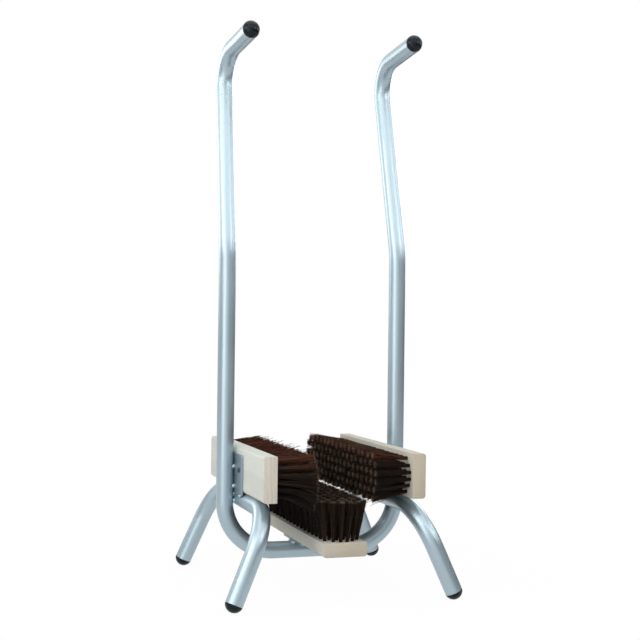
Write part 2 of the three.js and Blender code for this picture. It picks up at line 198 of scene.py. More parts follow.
def operation(name, swapped=False):
    """A method that adds a Math node to its socket's tree."""
    def method(self, *others):
        values = [self, *others]
        if swapped:
            values.reverse()
        return self.tree.add("ShaderNodeMath", dict(enumerate(values)), operation=name)

    return method


class Socket:
    """An output of a node. Arithmetic on it adds Math nodes to its tree."""

    def __init__(self, tree, node, output=0):
        self.tree = tree
        self.node = node
        self.socket = node.outputs[output] if node.outputs else None

    def out(self, output):
        return Socket(self.tree, self.node, output)

    __add__ = operation("ADD")
    __radd__ = operation("ADD", swapped=True)
    __sub__ = operation("SUBTRACT")
    __rsub__ = operation("SUBTRACT", swapped=True)
    __mul__ = operation("MULTIPLY")
    __rmul__ = operation("MULTIPLY", swapped=True)
    __truediv__ = operation("DIVIDE")
    __pow__ = operation("POWER")
    __abs__ = operation("ABSOLUTE")
    sine = operation("SINE")
    cosine = operation("COSINE")
    at_least = operation("MAXIMUM")


class NodeTree:
    """Adds nodes to a shader tree or a geometry tree."""

    def __init__(self, tree):
        self.tree = tree

    def add(self, kind, values=None, output=0, **settings):
        """Adds a node with its settings and input values, and gives one of its outputs."""
        node = self.tree.nodes.new(kind)
        for name, value in settings.items():
            setattr(node, name, value)
        for key, value in (values or {}).items():
            self.feed(node.inputs[key], value)
        return Socket(self, node, output)

    def feed(self, socket, value):
        """Links an input to a socket, or sets it to a value."""
        if isinstance(value, Socket):
            self.tree.links.new(value.socket, socket)
        else:
            socket.default_value = value

    def ramp(self, value, *stops):
        """A grey ramp between two (position, level) stops."""
        ramp = self.add("ShaderNodeValToRGB", {"Fac": value})
        for element, (position, level) in zip(ramp.node.color_ramp.elements, stops):
            element.position = position
            element.color = (level, level, level, 1)
        return ramp

    def mix(self, factor, first, second):
        """A mix of two colours."""
        sides = [side if isinstance(side, Socket) else (*side, 1) for side in (first, second)]
        return self.add("ShaderNodeMix", {0: factor, 6: sides[0], 7: sides[1]}, 2,
                        data_type="RGBA")

    def noise(self, place, scale, detail=3.0, roughness=0.5):
        values = {"Vector": place, "Scale": scale, "Detail": detail, "Roughness": roughness}
        return self.add("ShaderNodeTexNoise", values)

    def vector(self, kind, *values, output=0):
        return self.add("ShaderNodeVectorMath", dict(enumerate(values)), output,
                        operation=kind)

    def scaled(self, vector, factor):
        """A vector times a number."""
        return self.add("ShaderNodeVectorMath", {0: vector, "Scale": factor}, operation="SCALE")

    def axes(self, vector):
        """The X, Y and Z of a vector."""
        split = self.add("ShaderNodeSeparateXYZ", {0: vector})
        return [split.out(axis) for axis in "XYZ"]

    def joined(self, x, y, z):
        """A vector of three numbers."""
        return self.add("ShaderNodeCombineXYZ", {"X": x, "Y": y, "Z": z})


# Materials

class Shader(NodeTree):
    """The tree of a new material, with its place on the object and its surface shader."""

    def __init__(self, name):
        self.material = bpy.data.materials.new(name)
        self.material.use_nodes = True
        super().__init__(self.material.node_tree)
        self.surface = self.tree.nodes["Principled BSDF"]
        self.place = self.add("ShaderNodeTexCoord", output="Object")

    def attribute(self, name):
        """A number that is stored on the piece."""
        return self.add("ShaderNodeAttribute", output="Fac", attribute_name=name)

    def stretched(self, *scale):
        """The place with each axis scaled by its own factor."""
        return self.vector("MULTIPLY", self.place, scale)

    def bump(self, height, distance, strength):
        """A surface raised by a height from 0 to 1 times a distance in metres."""
        values = {"Height": height, "Distance": distance, "Strength": strength}
        return self.add("ShaderNodeBump", values)

    def finished(self, looks):
        """The material, once the inputs of its surface are set."""
        for name, value in looks.items():
            self.feed(self.surface.inputs[name], value)
        return self.material


def shaded(base, factor):
    """A colour made darker or lighter by a factor."""
    return [min(1.0, level * factor) for level in base]


def paint_material(settings):
    """Satin silver-grey paint with soft clouds, a faint orange peel, scuffs near the floor and
    painted shade on the carrier plates.
    """
    tree = Shader("silver_paint")
    base = settings.plate.paint
    worn = shaded(base, 0.62)
    cloud = tree.noise(tree.place, 14.0, 1.0)
    toned = tree.mix(cloud, shaded(base, 0.93), shaded(base, 1.05))
    # Painted shade: the carrier plates are pulled towards the darker worn colour, as if shaded
    # between tube and block
    toned = tree.mix(0.6 * tree.attribute("thin_coat"), toned, worn)
    height = tree.axes(tree.place)[2]
    scuffs = tree.ramp(tree.noise(tree.stretched(1, 1, 0.3), 60.0, 6.0, 0.7),
                       (0.62, 0.0), (0.74, 1.0))
    scuffs = scuffs * tree.ramp(height, (0.02, 1.0), (0.16, 0.0))
    return tree.finished({
        "Base Color": tree.mix(0.35 * scuffs, toned, worn),
        "Roughness": 0.33 + 0.08 * cloud + 0.1 * scuffs,
        "Metallic": 0.7,
        "Normal": tree.bump(tree.noise(tree.place, 60.0, 0.0), 0.03 * MM, 0.4),
    })


def cap_material(settings):
    """Black moulded plastic, glossy with a very fine grain and a little dust."""
    tree = Shader("black_plastic")
    base = settings.cap.plastic
    dusty = [level + 0.01 for level in base]
    dust = tree.ramp(tree.noise(tree.place, 40.0, 2.0), (0.45, 0.0), (0.8, 1.0))
    return tree.finished({
        "Base Color": tree.mix(0.5 * dust, base, dusty),
        "Roughness": 0.26 + 0.06 * dust,
        "Specular IOR Level": 0.2,
        "Normal": tree.bump(tree.noise(tree.place, 250.0, 0.0), 0.01 * MM, 0.4),
    })


def wood_material(settings):
    """Pale close-grained hardwood whose rings and pores run along the block, with painted shade on
    the right and bottom blocks.
    """
    tree = Shader("pale_wood")
    brush = settings.brush
    x, _, z = tree.axes(tree.place)
    heart_x, heart_z, ring_density = 0.3, 0.21, 1100.0
    drift = tree.noise(tree.stretched(40, 3, 14), 1.0)
    from_heart = ((x - heart_x) ** 2 + (z - heart_z) ** 2) ** 0.5
    rings = (from_heart * ring_density + drift * 26.0).sine()
    fibres = tree.noise(tree.stretched(900, 26, 500), 1.0, 4.0, 0.6)
    flecks = tree.ramp(tree.noise(tree.stretched(620, 60, 300), 1.0, 2.0),
                       (0.58, 0.0), (0.72, 1.0))
    facing = tree.axes(tree.add("ShaderNodeNewGeometry", output="Normal"))[1]
    at_end = tree.ramp(abs(facing), (0.6, 0.0), (0.9, 1.0))
    # Painted shade: each block's share of the shaded colours, highest on the right block
    board = tree.attribute("board_tone")
    pale = tree.mix(at_end, tree.mix(board, brush.wood, brush.shaded_wood),
                    tree.mix(board, brush.end_grain, brush.shaded_end_grain))
    deep = tree.mix(at_end, shaded(brush.wood, 0.82), shaded(brush.end_grain, 0.72))
    mottle = tree.ramp(drift, (0.35, 0.0), (0.7, 0.5))
    grain = (0.05 + mottle * (0.7 + 0.4 * rings) + 0.5 * (fibres - 0.5)).at_least(0.0)
    grained = tree.mix(grain, pale, deep)
    return tree.finished({
        "Base Color": tree.mix(0.2 * flecks, grained, shaded(brush.end_grain, 0.6)),
        "Roughness": 0.62 + 0.15 * fibres,
        "Normal": tree.bump(fibres * 0.6 - flecks * 0.4, 0.12 * MM, 0.6),
    })


def bristle_material(settings):
    """Dark brown fill: each bristle has its own tone, with painted shade at the sides of each
    tuft;
    the upper rows are lighter as painted top light, and the cut ends are paler, partly their
    own colour and partly a painted highlight."""
    tree = Shader("bristle_fill")
    brush = settings.brush
    tone, sun, along = (tree.attribute(name) for name in ("tone", "sun", "along"))
    toned = tree.mix(tone ** 2.5, brush.dark_fibre, brush.fibre)
    # Painted top light on the upper rows
    top_lit = tree.mix(sun, toned, brush.top_lit_fibre)
    # Paler cut ends: partly their own colour, partly a painted highlight
    cut = tree.ramp(along, (0.985, 0.0), (1.0, 1.0)) * tone
    return tree.finished({
        "Base Color": tree.mix(cut, top_lit, brush.cut_end),
        "Roughness": 0.42 + 0.2 * along,
        "Specular IOR Level": 0.12,
    })


def screw_material(settings):
    """Dark plated steel, worn pale in spots."""
    tree = Shader("dark_steel")
    base = settings.plate.steel
    wear = tree.noise(tree.place, 700.0, 4.0, 0.6)
    spots = tree.ramp(wear, (0.5, 0.0), (0.75, 0.7))
    return tree.finished({
        "Base Color": tree.mix(spots, base, shaded(base, 2.2)),
        "Roughness": 0.3 + 0.3 * wear,
        "Metallic": 0.85,
        "Normal": tree.bump(wear, 0.04 * MM, 0.5),
    })


MAKERS = {
    "paint": paint_material,
    "cap": cap_material,
    "wood": wood_material,
    "bristle": bristle_material,
    "screw": screw_material,
}
made_materials = {}


def material(slot):
    """The material of one of the slots, made when it is first asked for."""
    if slot not in made_materials:
        made_materials[slot] = MAKERS[slot](bpy.context.scene.scraper)
    return made_materials[slot]


# Meshes and objects

def shown(name, data):
    """A new object in the scene, at the origin."""
    piece = bpy.data.objects.new(name, data)
    bpy.context.scene.collection.objects.link(piece)
    return piece


def baked(piece):
    """Turns an object with its modifiers, or a curve, into a plain mesh object."""
    bpy.context.view_layer.update()
    depsgraph = bpy.context.evaluated_depsgraph_get()
    mesh = bpy.data.meshes.new_from_object(
        piece.evaluated_get(depsgraph), preserve_all_data_layers=True, depsgraph=depsgraph)
    name = piece.name
    bpy.data.objects.remove(piece)
    mesh.name = name
    return shown(name, mesh)


def placed(piece, matrix):
    """Moves a finished mesh without moving its object."""
    piece.data.transform(matrix)
    return piece


def dress(piece, slot, *nodes):
    """Gives a finished piece its slot, its body and the nodes that it stands for."""
    if not piece.data.materials:
        piece.data.materials.append(material(slot))
    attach(piece, "root")
    if nodes:
        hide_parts(*nodes)
    return piece


def mesh_from(name, build):
    """A mesh object filled by a function that is given an empty bmesh."""
    shape = bmesh.new()
    build(shape)
    data = bpy.data.meshes.new(name)
    shape.to_mesh(data)
    shape.free()
    return shown(name, data)


def mark(data, label, values):
    """Stores a number or a vector for each point of a mesh, for a node tree to read."""
    if isinstance(values[0], float):
        data.attributes.new(label, "FLOAT", "POINT").data.foreach_set("value", values)
    else:
        layer = data.attributes.new(label, "FLOAT_VECTOR", "POINT")
        layer.data.foreach_set("vector", [part for value in values for part in value])


def smooth(piece, limit_degrees=35):
    """Smooth shading with creases at the sharp edges."""
    piece.data.shade_smooth()
    piece.data.set_sharp_from_angle(angle=math.radians(limit_degrees))
    return piece


def lathe(name, profile, steps):
    """Turns a profile of (radius, height) points that starts and ends on the axis about Z."""
    def build(shape):
        points = [shape.verts.new((radius, 0, height)) for radius, height in profile]
        edges = [shape.edges.new(pair) for pair in zip(points, points[1:])]
        bmesh.ops.spin(shape, geom=points + edges, cent=(0, 0, 0), axis=(0, 0, 1),
                       angle=2 * math.pi, steps=steps, use_merge=True)
        bmesh.ops.remove_doubles(shape, verts=shape.verts, dist=1e-6)
        bmesh.ops.recalc_face_normals(shape, faces=shape.faces)

    return mesh_from(name, build)


def line_mesh(name, points, attributes=None, joined=True):
    """A mesh of points, joined in a line or left loose, with values stored on them."""
    data = bpy.data.meshes.new(name)
    edges = [(i, i + 1) for i in range(len(points) - 1)] if joined else []
    data.from_pydata(points, edges, [])
    for label, values in (attributes or {}).items():
        mark(data, label, values)
    return shown(name, data)


def rounded_outline(corners, steps):
    """An outline of quarter circles: each has its middle, radius and first quarter turn."""
    points = []
    for x, y, radius, start in corners:
        for step in range(steps + 1):
            turn = (start + step / steps) * math.pi / 2
            points.append((x + radius * math.cos(turn), y + radius * math.sin(turn)))
    return points


# Geometry trees

class GeometryTree(NodeTree):
    """A geometry tree. Each named input has its default or, in words, its kind."""

    def __init__(self, name, inputs):
        super().__init__(bpy.data.node_groups.new(name, "GeometryNodeTree"))
        sockets = self.tree.interface
        for label, default in {"Geometry": "Geometry", **inputs}.items():
            kind = {float: "Float", int: "Int"}.get(type(default), default)
            socket = sockets.new_socket(label, in_out="INPUT", socket_type=f"NodeSocket{kind}")
            if kind != default:
                socket.default_value = default
        sockets.new_socket("Geometry", in_out="OUTPUT", socket_type="NodeSocketGeometry")
        self.source = self.add("NodeGroupInput")
        self.place = self.add("GeometryNodeInputPosition")

    def __getitem__(self, name):
        """One of the tree's named inputs."""
        return self.source.out(name)

    def change(self, kind, geometry, values=None, **settings):
        """Takes a geometry through a node."""
        return self.add(f"GeometryNode{kind}", {0: geometry, **(values or {})}, **settings)

    def stored(self, name, kind="FLOAT"):
        return self.add("GeometryNodeInputNamedAttribute", {"Name": name}, data_type=kind)

    def stored_vector(self, name):
        return self.stored(name, "FLOAT_VECTOR")

    def store(self, geometry, name, value, kind="FLOAT"):
        values = {"Name": name, "Value": value}
        return self.change("StoreNamedAttribute", geometry, values, data_type=kind)

    def chance(self, low, high, offset):
        """A random number, drawn with the tree's seed and its own offset."""
        values = {2: low, 3: high, "Seed": self["Seed"] + offset}
        return self.add("FunctionNodeRandomValue", values, 1, data_type="FLOAT")

    def finished(self, geometry):
        """Ends the tree with Realize Instances, smooth faces and Set Material."""
        real = self.change("RealizeInstances", geometry)
        even = self.change("SetShadeSmooth", real)
        dressed = self.change("SetMaterial", even, {"Material": self["Material"]})
        self.add("NodeGroupOutput", {0: dressed})
        return self.tree


def grown(piece, group, slot, values=None):
    """Runs a geometry tree on an object, with the named inputs that differ from the tree's
    defaults, and bakes the result."""
    inputs = {"Material": material(slot), **(values or {})}
    modifier = piece.modifiers.new(group.name, "NODES")
    modifier.node_group = group
    for item in group.interface.items_tree:
        if item.item_type == "SOCKET" and item.in_out == "INPUT" and item.name in inputs:
            modifier[item.identifier] = inputs[item.name]
    return baked(piece)


def tube_tree(tube):
    """Sweeps a circle along a line whose corners are rounded by their own bend radius."""
    tree = GeometryTree("Bent Tube", {
        "Outside Radius": tube.diameter / 2,
        "Sides": tube.sides,
        "Bend Steps": tube.bend_steps,
        "Material": "Material",
    })
    line = tree.change("MeshToCurve", tree["Geometry"])
    bends = {"Count": tree["Bend Steps"], "Radius": tree.stored("bend_radius")}
    path = tree.change("FilletCurve", line, bends, mode="POLY")
    section = tree.add("GeometryNodeCurvePrimitiveCircle",
                       {"Resolution": tree["Sides"], "Radius": tree["Outside Radius"]})
    return tree.finished(tree.change("CurveToMesh", path, {"Profile Curve": section}))


def setting_tree():
    """Sets a copy of a piece on every point, turned so that its Z looks outward, roughens it
    and flattens it where it would sink into the floor."""
    tree = GeometryTree("Set on Points", {
        "Piece": "Object",
        "Largest Spin": 0.0,
        "Roughen": 0.0,
        "Floor": 0.0,
        "Seed": 0,
        "Material": "Material",
    })
    outward = tree.stored_vector("outward")
    turned = tree.add("FunctionNodeAlignRotationToVector", {"Vector": outward}, axis="Z")
    spin = tree.chance(0.0, tree["Largest Spin"], 0)
    about = tree.add("FunctionNodeAxisAngleToRotation", {"Angle": spin})
    turn = tree.add("FunctionNodeRotateRotation", {"Rotation": turned, "Rotate By": about},
                    rotation_space="LOCAL")
    copies = tree.change("InstanceOnPoints", tree["Geometry"], {
        "Instance": tree.add("GeometryNodeObjectInfo", {"Object": tree["Piece"]}, "Geometry"),
        "Rotation": turn,
        "Scale": tree.stored_vector("size"),
    })
    real = tree.change("RealizeInstances", copies)
    lumps = tree.noise(tree.place, 330.0) - 0.5
    push = tree.scaled(tree.add("GeometryNodeInputNormal"), lumps * tree["Roughen"])
    rough = tree.change("SetPosition", real, {"Offset": push})
    x, y, z = tree.axes(tree.place)
    flat = tree.joined(x, y, z.at_least(tree["Floor"]))
    return tree.finished(tree.change("SetPosition", rough, {"Position": flat}))


def bristle_tree(brush):
    """Grows a cone of curved bristles from every tuft's root."""
    tree = GeometryTree("Brush Fill", {
        "Bristles per Tuft": brush.per_tuft,
        "Length": brush.bristle_length,
        "Thickness": brush.bristle_thickness,
        "Root Radius": brush.root_radius,
        "Root Depth": 1.5 * MM,
        "Spread Across": brush.spread_across,
        "Spread Along": brush.spread_along,
        "Tuft Lean": brush.tuft_lean,
        "Fan Across": 0.0,
        "Fan Along": 0.065,
        "Droop": 0.0,
        "Half Width": 26 * MM,
        "Sun Bleach": 0.0,
        "Seed": brush.seed,
        "Material": "Material",
    })
    tufts = tree["Geometry"]
    for name, low, offset in (("tuft_tone", 0.0, 11), ("tuft_x", -1.0, 12), ("tuft_y", -1.0, 13)):
        tufts = tree.store(tufts, name, tree.chance(low, 1.0, offset))
    points = tree.change("DuplicateElements", tufts, {"Amount": tree["Bristles per Tuft"]},
                         domain="POINT")
    x, y, z = tree.axes(tree.place)

    # Each bristle's own place in the round tuft
    turn = tree.chance(0.0, 2 * math.pi, 1)
    share = tree.chance(0.0, 1.0, 2) ** 0.5
    beside = share * turn.cosine()
    ahead = share * turn.sine()
    root = tree.joined(x + beside * tree["Root Radius"], y + ahead * tree["Root Radius"],
                       z - tree["Root Depth"])

    # Every bristle strays a little from its tuft, and a few stray far
    usual, farthest, rarity = 0.36, 2.2, 12.0
    apart = usual + farthest * tree.chance(0.0, 1.0, 3) ** rarity
    lean_x = (beside + tree.chance(-1.0, 1.0, 4) * apart) * tree["Spread Across"]
    lean_y = (ahead + tree.chance(-1.0, 1.0, 5) * apart) * tree["Spread Along"]

    # A whole tuft leans too, and twice as far along the brush as across it
    lean_x = lean_x + tree.stored("tuft_x") * tree["Tuft Lean"]
    lean_y = lean_y + tree.stored("tuft_y") * tree["Tuft Lean"] * 2.0

    # The tips, which sag in the lower rows and end a little short at the tuft's rim
    shortest, rim_drop = 0.976, 0.03
    low_rows = ((x / tree["Half Width"] + 1.0) * 0.5).at_least(0.0) ** 1.5
    sag = low_rows * tree["Droop"]
    reach = tree.chance(shortest, 1.0, 6) - rim_drop * share * share
    tip = tree.joined(x * (1.0 + tree["Fan Across"]) + lean_x + sag,
                      y * (1.0 + tree["Fan Along"]) + lean_y, z + tree["Length"] * reach)
    bow = tree.joined(tree.chance(-1.0, 1.0, 8) * (2 * MM) - lean_x * 0.2 - sag * 0.3,
                      tree.chance(-1.0, 1.0, 9) * (3 * MM) - lean_y * 0.15, 0.0)
    for name, value in (("root", root), ("tip", tip), ("bow", bow)):
        points = tree.store(points, name, value, "FLOAT_VECTOR")

    # The tones: random, in clumps, and darker at the sides of each tuft as painted shade between
    # the tufts
    clump = (tree.noise(root, 700.0, 1.0) * 3.0 - 1.0).at_least(0.0)
    tuft_share = 0.2 + 0.45 * tree.stored("tuft_tone") + 0.8 * clump
    tone = tree.chance(0.2, 1.0, 10) * tuft_share * (1.15 - 0.7 * beside * beside)
    # Painted top light: the top rows take a lighter colour, as if lit from above
    high_rows = ((1.0 - x / tree["Half Width"]) * 0.5).at_least(0.0) ** 7.0
    points = tree.store(points, "tone", tone)
    points = tree.store(points, "sun", high_rows * tone * tree["Sun Bleach"])

    # A line of three points from 0 to 1 becomes each bristle's bowed length
    count = 3
    line = tree.add("GeometryNodeMeshLine",
                    {"Count": count, "Offset": (0.0, 0.0, 1.0 / (count - 1))})
    line = tree.store(line, "along", z)
    strands = tree.change("InstanceOnPoints", points, {"Instance": line})
    strands = tree.change("RealizeInstances", strands)
    along = tree.stored("along")
    root, tip, bow = (tree.stored_vector(name) for name in ("root", "tip", "bow"))
    straight = tree.add("ShaderNodeMix", {0: along, 4: root, 5: tip}, 1, data_type="VECTOR")
    bowed = tree.vector("ADD", straight, tree.scaled(bow, 4.0 * along * (1.0 - along)))
    strands = tree.change("SetPosition", strands, {"Position": bowed})
    section = tree.add("GeometryNodeCurvePrimitiveCircle",
                       {"Resolution": 3, "Radius": tree["Thickness"] * 0.5})
    hairs = tree.change("CurveToMesh", tree.change("MeshToCurve", strands), {
        "Profile Curve": section,
        "Scale": 1.0 - 0.35 * along,
        "Fill Caps": True,
    })
    return tree.finished(hairs)


# Places shared by the pieces

class Places:
    """The settings, and where things are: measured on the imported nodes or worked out."""

    def __init__(self, settings):
        self.tube = settings.tube
        self.leg = settings.leg
        self.cap = settings.cap
        self.brush = settings.brush
        self.plate = settings.plate
        self.radius = self.tube.diameter / 2
        tube_low, tube_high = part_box("frame_tube")
        leg_low, leg_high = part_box("leg_right")
        block_low, block_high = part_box("brush_block_left")
        bottom_low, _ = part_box("brush_block_bottom")
        self.upright_x = tube_high.x - self.radius
        self.run_height = tube_low.z + self.radius
        self.leg_x = leg_low.x + self.radius
        self.leg_height = leg_high.z - self.radius
        self.block_x = -block_low.x
        self.brush_height = (block_low.z + block_high.z) / 2
        self.brush_length = block_high.y - block_low.y
        self.brush_width = block_high.z - block_low.z
        self.block_thickness = block_high.x - block_low.x + settings.brush.backing
        self.bottom_height = bottom_low.z

    def upright_corners(self):
        """The right upright's corners, from the bottom run to the tube's end at the handle."""
        tube = self.tube
        rise = tube.handle_height - tube.kink_height
        corner = Vector((self.upright_x - rise * math.tan(tube.lean_in),
                         rise * math.tan(tube.lean_back), tube.handle_height))
        return [
            Vector((self.upright_x, 0, self.run_height)),
            Vector((self.upright_x, 0, tube.kink_height)),
            corner,
            corner + self.handle_heading() * tube.handle_reach,
        ]

    def handle_heading(self):
        """The way the right handle points."""
        tube = self.tube
        flat = math.cos(tube.handle_rise)
        return Vector((-math.sin(tube.handle_toe_in) * flat,
                       -math.cos(tube.handle_toe_in) * flat, math.sin(tube.handle_rise)))

    def leg_heading(self):
        """The way the right front leg points, towards the floor."""
        leg = self.leg
        return Vector((math.tan(leg.splay_out), -math.tan(leg.splay_end), -1)).normalized()

    def leg_end(self):
        """Where the right front leg tube ends, so that its cap stands on the floor."""
        leg = self.leg
        cap = self.cap
        dome_radius = self.dome_radius()
        heading = self.leg_heading()
        seat = leg.seat_gap + cap.flange + cap.dome - dome_radius
        height = dome_radius - cap.pad - seat * heading.z
        corner = Vector((self.leg_x, -leg.corner_reach, self.leg_height))
        return corner + heading * ((height - self.leg_height) / heading.z)

    def dome_radius(self):
        dome = self.cap.dome
        return (self.radius ** 2 + dome ** 2) / (2 * dome)

    def stations(self):
        """Each brush's own frame: X across it, Y along it, Z the way its bristles point."""
        left = Matrix.Translation((-self.block_x, 0, self.brush_height))
        left = left @ Matrix.Rotation(math.pi / 2, 4, "Y")
        return {
            "left": left,
            "right": Matrix.Rotation(math.pi, 4, "Z") @ left,
            "bottom": Matrix.Translation((0, 0, self.bottom_height)),
        }

    def screw_places(self):
        """Where a plate's two screws lie along its brush."""
        spacing = self.plate.screw_spacing
        return (-spacing / 2, spacing / 2)

    def plate_shift(self):
        """How far a side plate's middle lies above its brush's middle, across the brush."""
        plate = self.plate
        inner = self.block_x - self.leg_x
        rest = self.leg_height + math.sqrt(self.radius ** 2 - inner ** 2)
        rest += 2 * self.leg.seat_gap
        return self.brush_height - (rest + plate.plate_width / 2)


def mirrored(points, signs=(-1, 1, 1)):
    return [Matrix.Diagonal(signs) @ point for point in points]


# Pieces

FULL_SIZE = (1, 1, 1)


class Builder:
    """Lets an operator build its pieces from the scene's settings."""

    def execute(self, context):
        self.build(Places(context.scene.scraper))
        return {"FINISHED"}


def bent_tube(name, corners, bends):
    """A bent tube with its bore, along corners that are rounded by the given radii."""
    tube = bpy.context.scene.scraper.tube
    line = line_mesh(name, corners, {"bend_radius": [0.0, *bends, 0.0]})
    piece = grown(line, tube_tree(tube), "paint")
    wall = piece.modifiers.new("Wall", "SOLIDIFY")
    wall.thickness = tube.wall
    wall.offset = -1
    return smooth(baked(piece))


def set_copies(name, model, seats, slot, values=None):
    """Sets a model on seats, each a place, the way out and a size, and joins the copies."""
    points = line_mesh(name, [place for place, _, _ in seats], {
        "outward": [out for _, out, _ in seats],
        "size": [size for _, _, size in seats],
    }, joined=False)
    piece = grown(points, setting_tree(), slot, {"Piece": model, **(values or {})})
    bpy.data.objects.remove(model)
    return piece


class SCRAPER_OT_frame_tube(Builder, Operator):
    """Bend the tube that carries the brushes and ends in the two handles"""
    bl_idname = "scraper.frame_tube"
    bl_label = "Frame Tube"

    def build(self, where):
        tube = where.tube
        right = where.upright_corners()
        bends = [tube.handle_bend, tube.kink_bend, tube.bottom_bend]
        piece = bent_tube("frame", mirrored(right)[::-1] + right, bends + bends[::-1])
        dress(piece, "paint", "frame_tube")


class SCRAPER_OT_legs(Builder, Operator):
    """Bend the two leg arches inside the uprights"""
    bl_idname = "scraper.legs"
    bl_label = "Legs"

    def build(self, where):
        leg = where.leg
        front = [where.leg_end(), Vector((where.leg_x, -leg.corner_reach, where.leg_height))]
        right = front + mirrored(front, (1, -1, 1))[::-1]
        for side, corners in (("left", mirrored(right)), ("right", right)):
            piece = bent_tube(f"leg_arch_{side}", corners, [leg.bend, leg.bend])
            dress(piece, "paint", f"leg_{side}")


def cap_model(where):
    """A plug, turned from the tip of its ribbed spigot to the top of its dome."""
    cap = where.cap
    radius = where.radius
    play = 0.3 * MM
    edge = 0.3 * MM
    rib_height, rib_crest, rib_length = 1.1 * MM, 1.6 * MM, 2.0 * MM
    ribs = 3
    bore = radius - where.tube.wall - play
    core = bore - rib_height
    points = [(0, -cap.spigot), (core, -cap.spigot)]
    for rib in range(ribs):
        low = -cap.spigot + (rib + 0.6) * cap.spigot / (ribs + 1)
        points += [(core, low), (bore, low + rib_crest), (core, low + rib_length)]
    points += [(core, 0), (radius - edge, 0), (radius, edge), (radius, cap.flange)]
    dome_radius = where.dome_radius()
    middle = cap.flange + cap.dome - dome_radius
    widest = math.asin(radius / dome_radius)
    steps = 14
    for step in range(steps - 1, -1, -1):
        turn = widest * step / steps
        points.append((dome_radius * math.sin(turn), middle + dome_radius * math.cos(turn)))
    return smooth(lathe("cap_model", points, where.tube.sides))


class SCRAPER_OT_end_caps(Builder, Operator):
    """Set the domed plastic plugs in the ends of the handles and the legs"""
    bl_idname = "scraper.end_caps"
    bl_label = "End Caps"

    def build(self, where):
        gap = where.leg.seat_gap
        ends = {
            "handle_cap": (where.upright_corners()[-1], where.handle_heading(), [1]),
            "foot_cap": (where.leg_end(), where.leg_heading(), [1, -1]),
        }
        for kind, (end, out, ways) in ends.items():
            flips = [Matrix.Diagonal((side, way, 1)) for side in (-1, 1) for way in ways]
            seats = [(flip @ (end + out * gap), flip @ out, FULL_SIZE) for flip in flips]
            piece = set_copies(f"{kind}s", cap_model(where), seats, "cap")
            nodes = [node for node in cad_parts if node.startswith(kind)]
            dress(smooth(piece), "cap", *nodes)


def plate_outline(plate):
    """A plate's rounded rectangle."""
    across = plate.plate_width / 2 - plate.corner
    along = plate.plate_length / 2 - plate.corner
    signs = ((1, 1), (-1, 1), (-1, -1), (1, -1))
    corners = [(x * across, y * along, plate.corner, index)
               for index, (x, y) in enumerate(signs)]
    return rounded_outline(corners, 8)


def add_spline(curve, points):
    """Adds a closed outline to a curve."""
    spline = curve.splines.new("POLY")
    spline.points.add(len(points) - 1)
    for point, (x, y) in zip(spline.points, points):
        point.co = (x, y, 0, 1)
    spline.use_cyclic_u = True


class SCRAPER_OT_plates(Builder, Operator):
    """Cut the carrier plates that join the brushes to the tube"""
    bl_idname = "scraper.plates"
    bl_label = "Carrier Plates"

    def build(self, where):
        plate = where.plate
        radius = plate.screw_hole / 2
        steps = 24
        turns = [2 * math.pi * step / steps for step in range(steps)]
        for side, matrix in where.stations().items():
            shift = 0.0 if side == "bottom" else where.plate_shift()
            curve = bpy.data.curves.new(f"carrier_plate_{side}", "CURVE")
            curve.dimensions = "2D"
            curve.fill_mode = "BOTH"
            curve.extrude = plate.thickness / 2 - plate.edge
            curve.bevel_depth = plate.edge
            curve.bevel_resolution = 2
            curve.offset = -plate.edge
            add_spline(curve, plate_outline(plate))
            for y in where.screw_places():
                add_spline(curve, [(radius * math.cos(turn) - shift,
                                    y + radius * math.sin(turn)) for turn in turns])
            piece = baked(shown(curve.name, curve))
            # Marks the plate for the paint's painted shade
            mark(piece.data, "thin_coat", [1.0] * len(piece.data.vertices))
            lowered = Matrix.Translation((shift, 0, -plate.thickness / 2))
            dress(smooth(placed(piece, matrix @ lowered)), "paint", f"plate_{side}")


def weld_seats(where):
    """Each bead's place, the way it bulges and its size."""
    plate = where.plate
    gap = plate.bead_gap
    beside = math.sqrt(where.radius ** 2 - (where.radius - gap) ** 2)
    lower_edge = where.plate_shift() + plate.plate_width / 2
    side_rows = (lower_edge - plate.lower_bead, lower_edge - plate.upper_bead)
    bottom_rows = (-plate.plate_width / 2, plate.plate_width / 2)
    corner_y = plate.plate_length / 2 - plate.corner - plate.corner_bead
    leg_height = where.leg_height - where.leg.bead_drop
    full = Vector((1.05, 0.9, 0.8))
    corner_share = 0.6
    seats = []

    def add(matrix, place, out, size=full):
        seats.append((matrix @ Vector(place), (matrix.to_3x3() @ Vector(out)).normalized(), size))

    for side, matrix in where.stations().items():
        for x in bottom_rows if side == "bottom" else side_rows:
            for y in (-beside, beside):
                add(matrix, (x, y, -plate.thickness - gap / 2), (0, y, 0))
        for y in () if side == "bottom" else (-corner_y, corner_y):
            add(matrix, (lower_edge, y, -plate.thickness), (1, 0, -1), full * corner_share)
    for side in (-1, 1):
        for y in (-beside, beside):
            x = side * (where.leg_x + where.radius - gap / 2)
            add(Matrix(), (x, y, leg_height), (0, y, 0))
    return seats


class SCRAPER_OT_weld_beads(Builder, Operator):
    """Lay the painted weld beads between the plates, the legs and the tube"""
    bl_idname = "scraper.weld_beads"
    bl_label = "Weld Beads"

    def build(self, where):
        def ball(shape):
            bmesh.ops.create_icosphere(shape, subdivisions=3, radius=where.plate.bead)

        piece = set_copies("weld_beads", mesh_from("bead_model", ball), weld_seats(where), "paint",
                           {"Largest Spin": 0.5, "Roughen": 1.2 * MM})
        dress(smooth(piece, 80), "paint")


def block_outline(where):
    """The block's outline across its length: rounded back edges and crisp front ones."""
    brush = where.brush
    deep = where.block_thickness
    corners = []
    for side, at_back, start in ((1, True, -1), (1, False, 0), (-1, False, 1), (-1, True, 2)):
        radius = brush.back_radius if at_back else brush.front_radius
        middle = radius if at_back else deep - radius
        corners.append((side * (where.brush_width / 2 - radius), middle, radius, start))
    return rounded_outline(corners, 6)


